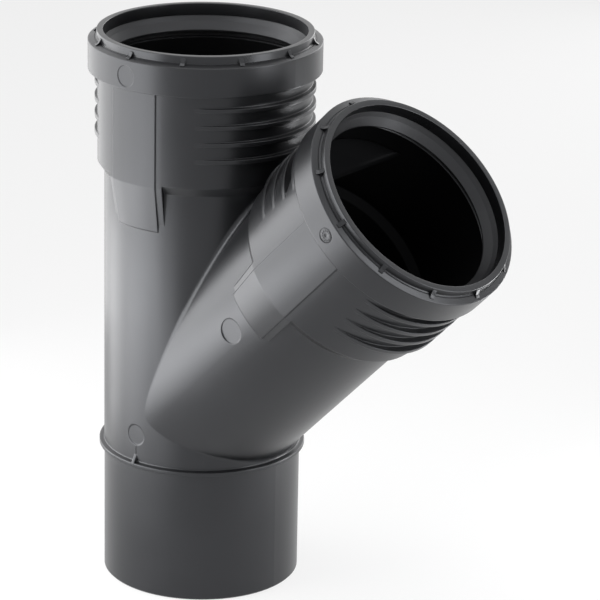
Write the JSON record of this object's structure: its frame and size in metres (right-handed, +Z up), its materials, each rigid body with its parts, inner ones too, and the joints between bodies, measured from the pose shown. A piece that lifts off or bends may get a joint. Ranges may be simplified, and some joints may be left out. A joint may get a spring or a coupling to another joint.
{
  "type": "lateral wye fitting",
  "caption": "Lateral wye pipe fitting: spigot below, push-fit socket with lip seal and retaining ring above, and the same socket on a branch that leaves at 45 degrees.",
  "frame": {"origin": "centre of the spigot's end face, on the run's axis", "axes": "+Z up the run's axis from the spigot to the run's socket; +X to the side that the branch leans to, 45 degrees from +Z; -Y is the parting side with the blank label fields"},
  "size_m": [0.2095, 0.105, 0.2572],
  "materials": {
    "fitting_body": "satin moulded polypropylene, near black",
    "run_seal": "smooth black rubber",
    "branch_seal": "smooth black rubber",
    "run_retaining_ring": "glossy black plastic",
    "branch_retaining_ring": "glossy black plastic"
  },
  "bodies": {
    "root": {"fitting_body": "fitting_body", "run_seal": "run_seal", "branch_seal": "branch_seal", "run_retaining_ring": "run_retaining_ring", "branch_retaining_ring": "branch_retaining_ring"}
  },
  "joints": []
}
